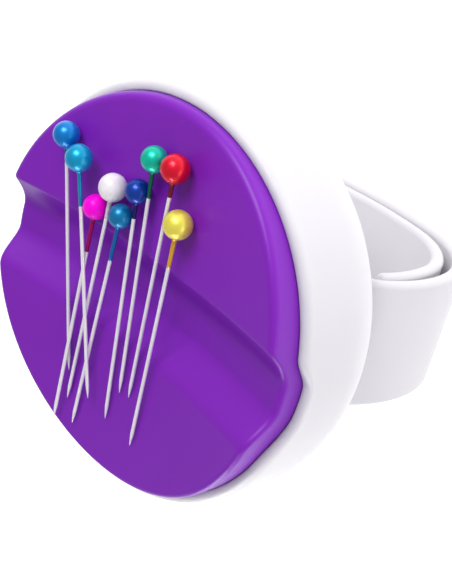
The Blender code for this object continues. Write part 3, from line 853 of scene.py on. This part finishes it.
def make_arm(arm):
    """One arm of the band: a length of sleeve and of strip over each hinge, and the tip."""
    hinges, cuts = lengths(arm)
    for i, hinge in enumerate(hinges):
        start, end = cuts[i], cuts[i + 1]
        bend_start = point_on(arm, hinge - CORNER_BLEND if i == 0 else start)
        bend_end = point_on(arm, hinge + CORNER_BLEND if i == 0 else end)
        for kind, section, look, slot in (
            ("sleeve", plain_sleeve, SILICONE_LOOK, "band_silicone"),
            ("strip", plain_strip, SPRING_LOOK, "spring_steel"),
        ):
            piece = swept(f"{kind}_{arm}_length_{i + 1}", arm_rings(section, arm, start, end))
            node = f"band_sleeve_{arm}_{i + 1}" if kind == "sleeve" else f"spring_strip_{arm}_{i + 1}"
            wear(piece, look, None, [node])
            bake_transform(piece)
    last = f"band_{arm}_{len(hinges)}"
    tip = swept(f"sleeve_{arm}_tip", tip_rings(arm, cuts[-1]))
    wear(tip, SILICONE_LOOK, last, [f"band_sleeve_{arm}_{len(hinges)}"])
    end_strip = swept(f"strip_{arm}_tip", arm_rings(plain_strip, arm, cuts[-1], ARM_LENGTH - STRIP_SHORTER))
    wear(end_strip, SPRING_LOOK, last, [f"spring_strip_{arm}_{len(hinges)}"])


def make_middle():
    """The flat middle of the band, clamped between the case and the bridge."""
    reach = {arm: lengths(arm)[1][0] for arm in ARMS}
    for kind, section, look, slot, node in (
        ("sleeve", plain_sleeve, SILICONE_LOOK, "band_silicone", "band_sleeve_middle"),
        ("strip", plain_strip, SPRING_LOOK, "spring_steel", "spring_strip_middle"),
    ):
        rings = list(reversed(arm_rings(section, "inner", 0.0, reach["inner"])))
        rings += arm_rings(section, "outer", 0.0, reach["outer"])[1:]
        piece = swept(f"{kind}_middle", rings)
        wear(piece, look, "case", [node])


# ---------------------------------------------------------------- pins

PIN_LENGTH = 41.5 * MM  # from the pearl's centre to the tip
SHAFT_RADIUS = 0.32 * MM
POINT_LENGTH = 2.6 * MM
POINT_ROUNDING = 0.7
NECK_RADIUS = 0.38 * MM
NECK_FOOT = 0.25 * MM  # where the pearl's paint has narrowed to the neck
NECK_START = 0.6 * MM
NECK_STEPS = 8
PAINT_THICK = 0.015 * MM
PAINT_WAVE = 0.02 * MM
HIDDEN_SHAFT = 0.5 * MM  # how far the shaft goes up inside its painted neck
SHAFT_TOP_REACH = 1.5 * MM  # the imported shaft's blunt end lies within this of its pearl's centre
PEARL_SIDES = 56
SHAFT_SIDES = 24
FLAT_PAINTS = {"magenta": (0.0, 0.12), "white": (0.0, 0.3)}  # metallic share and gloss of the plain paints
PEARL_PAINT = (0.5, 0.4)  # and of the pearlised ones


def pin_axis(name):
    """The pearl's centre and the pin's direction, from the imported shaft."""
    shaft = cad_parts[f"pin_{name}_shaft"]
    low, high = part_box(f"pin_{name}_pearl")
    near = (low + high) / 2
    points = [v.co.copy() for v in shaft.data.vertices]
    tip = max(points, key=lambda p: (p - near).length)
    blunt = [p for p in points if (p - near).length < SHAFT_TOP_REACH]
    top = sum(blunt, Vector()) / len(blunt)
    direction = (tip - top).normalized()
    return tip - direction * PIN_LENGTH, direction


def pearl_profile(name, radius, neck):
    """The pearl and the painted neck under it as (radius, z) points, and the z where the pearl ends."""
    neck_deg = -90 + math.degrees(math.asin(NECK_RADIUS * 1.5 / radius))
    profile = arc((0.0, 0.0), radius, 90, neck_deg, 30)
    profile[0] = (0.0, radius)
    low = profile[-1][1]
    profile += [(NECK_RADIUS * 1.12, low - NECK_FOOT), (NECK_RADIUS, low - NECK_START)]
    for i in range(1, NECK_STEPS + 1):
        share = i / NECK_STEPS
        wave = PAINT_WAVE * math.sin(share * 9.0 + len(name))
        thick = NECK_RADIUS + (SHAFT_RADIUS + PAINT_THICK - NECK_RADIUS) * share + wave * (1 - share)
        profile.append((thick, low - NECK_START - neck * share))
    profile.append((SHAFT_RADIUS * 0.9, profile[-1][1] - 2 * PAINT_THICK))
    profile.append((0.0, profile[-1][1]))
    return profile, low


def shaft_profile(start):
    """The bright shaft down to its point as (radius, z) points."""
    profile = [(0.0, start), (SHAFT_RADIUS, start), (SHAFT_RADIUS, -PIN_LENGTH + POINT_LENGTH)]
    for i in range(1, 11):
        share = i / 10
        thick = SHAFT_RADIUS * (1 - share) ** POINT_ROUNDING
        profile.append((thick, -PIN_LENGTH + POINT_LENGTH * (1 - share)))
    return profile


def make_pin(name, diameter, neck_length, colour, shaded_neck_colour):
    """A pearl with its painted neck, and the bright shaft with its point."""
    centre, direction = pin_axis(name)
    turn = Vector((0, 0, -1)).rotation_difference(direction).to_matrix().to_4x4()
    place = Matrix.Translation(centre) @ turn
    body = f"pin_{name}"
    profile, low = pearl_profile(name, diameter / 2 * MM, neck_length * MM)
    pearl = finished(f"pearl_and_neck_{name}", spun(profile, PEARL_SIDES), PIN_CREASE_DEG)
    pearl.matrix_world = place
    metallic, gloss = FLAT_PAINTS.get(name, PEARL_PAINT)
    look = pearl_look(f"pearl_paint_{name}", colour, shaded_neck_colour, low, metallic, gloss)
    wear(pearl, look, body, [f"pin_{name}_pearl"])
    start = profile[-1][1] + HIDDEN_SHAFT
    shaft = finished(f"steel_shaft_{name}", spun(shaft_profile(start), SHAFT_SIDES), PIN_CREASE_DEG)
    shaft.matrix_world = place
    wear(shaft, PIN_STEEL_LOOK, body, [f"pin_{name}_shaft"])


# ---------------------------------------------------------------- floor, light and camera

CAMERA_RIGHT = Vector((0.677, 0.2419, -0.6951)).normalized()
CAMERA_UP = Vector((-0.4614, 0.8753, -0.1448)).normalized()
CAMERA_BACK = CAMERA_RIGHT.cross(CAMERA_UP).normalized()
CAMERA_PLACE = Vector((0.12116, 0.08586, 0.15592)) + 0.12 * MM * CAMERA_RIGHT
LENS_MM = 73.97
CAMERA_NEAR = 0.01
MIDDLE = Vector((0.0, 0.0, 0.010))  # what the softboxes point at
FLOOR_HALF_SIZE = 3.0
FLOOR_GLOW = 0.55
HORIZON_COLOUR = (1.0, 1.0, 1.0, 1.0)
OVERHEAD_COLOUR = (0.40, 0.405, 0.42, 1.0)


def make_camera():
    """The camera that sees the holder from its front right, with the pins upright."""
    data = bpy.data.cameras.new("camera")
    data.lens = LENS_MM
    data.clip_start = CAMERA_NEAR
    camera = bpy.data.objects.new("camera", data)
    bpy.context.scene.collection.objects.link(camera)
    up = CAMERA_BACK.cross(CAMERA_RIGHT)
    turn = Matrix((CAMERA_RIGHT, up, CAMERA_BACK)).transposed()
    camera.matrix_world = Matrix.Translation(CAMERA_PLACE) @ turn.to_4x4()
    bpy.context.scene.camera = camera


def make_floor():
    """A plain pale floor just under the lowest piece."""
    shape = bmesh.new()
    bmesh.ops.create_grid(shape, x_segments=8, y_segments=8, size=FLOOR_HALF_SIZE)
    floor_z = min(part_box(n)[0].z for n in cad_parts) - FIT
    bmesh.ops.translate(shape, verts=shape.verts, vec=(0, 0, floor_z))
    floor = finished("floor", shape)
    look = new_material("floor_white", (0.9, 0.9, 0.9), 0.8)
    shader = look.node_tree.nodes["Principled BSDF"]
    shader.inputs["Emission Color"].default_value = (1, 1, 1, 1)
    shader.inputs["Emission Strength"].default_value = FLOOR_GLOW
    floor.data.materials.append(look)


def softbox(name, right, up, back, distance, size, power):
    """An area light in this direction from the object, as the camera sees it."""
    data = bpy.data.lights.new(name, "AREA")
    data.shape = "RECTANGLE"
    data.size, data.size_y = size
    data.energy = power
    light = bpy.data.objects.new(name, data)
    bpy.context.scene.collection.objects.link(light)
    way = (CAMERA_RIGHT * right + CAMERA_UP * up + CAMERA_BACK * back).normalized()
    light.location = MIDDLE + way * distance
    light.rotation_mode = "QUATERNION"
    light.visible_camera = False
    light.rotation_quaternion = way.to_track_quat("Z", "Y")
    return light


def make_world():
    """A pale room that is brightest round the horizon."""
    world = bpy.data.worlds.new("studio")
    bpy.context.scene.world = world
    world.use_nodes = True
    background = world.node_tree.nodes["Background"]
    nodes, links = world.node_tree.nodes, world.node_tree.links
    way = nodes.new("ShaderNodeTexCoord")
    parts = nodes.new("ShaderNodeSeparateXYZ")
    height = nodes.new("ShaderNodeMath")
    height.operation = "ABSOLUTE"
    ramp = nodes.new("ShaderNodeValToRGB")
    ramp.color_ramp.interpolation = "EASE"
    ramp.color_ramp.elements[0].position = 0.14
    ramp.color_ramp.elements[0].color = HORIZON_COLOUR
    ramp.color_ramp.elements[1].position = 0.34
    ramp.color_ramp.elements[1].color = OVERHEAD_COLOUR
    links.new(way.outputs["Generated"], parts.inputs["Vector"])
    links.new(parts.outputs["Z"], height.inputs[0])
    links.new(height.outputs["Value"], ramp.inputs["Fac"])
    links.new(ramp.outputs["Color"], background.inputs["Color"])
    background.inputs["Strength"].default_value = 1.0


def make_lights():
    """A soft key from above, a weak fill from the right, and a low bounce on the -Y side."""
    softbox("key_top", -0.278, 0.56, 0.785, 0.6, (0.34, 0.26), 2.4)
    softbox("fill_right", 0.65, -0.55, 0.55, 0.6, (0.34, 0.34), 0.5)
    low = softbox("bounce_low", 0.0, -1.0, 0.0, 0.3, (0.35, 0.05), 0.6)
    low.location = (0.05, -0.28, -0.010)
    low.rotation_quaternion = Vector((0.0, -1.0, 0.0)).to_track_quat("Z", "X")
    bpy.context.scene.view_settings.view_transform = "Standard"


def main():
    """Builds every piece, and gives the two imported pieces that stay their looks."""
    make_camera()
    make_world()
    make_lights()
    make_floor()
    make_cover()
    make_case()
    make_bridge()
    make_screws()
    make_middle()
    for arm in ARMS:
        make_arm(arm)
    for name, sizes in PINS.items():
        make_pin(name, *sizes)
    for node, look in (("magnet_disc", FERRITE_LOOK), ("keeper_plate", KEEPER_LOOK)):
        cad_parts[node].data.materials.clear()
        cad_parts[node].data.materials.append(look)


main()
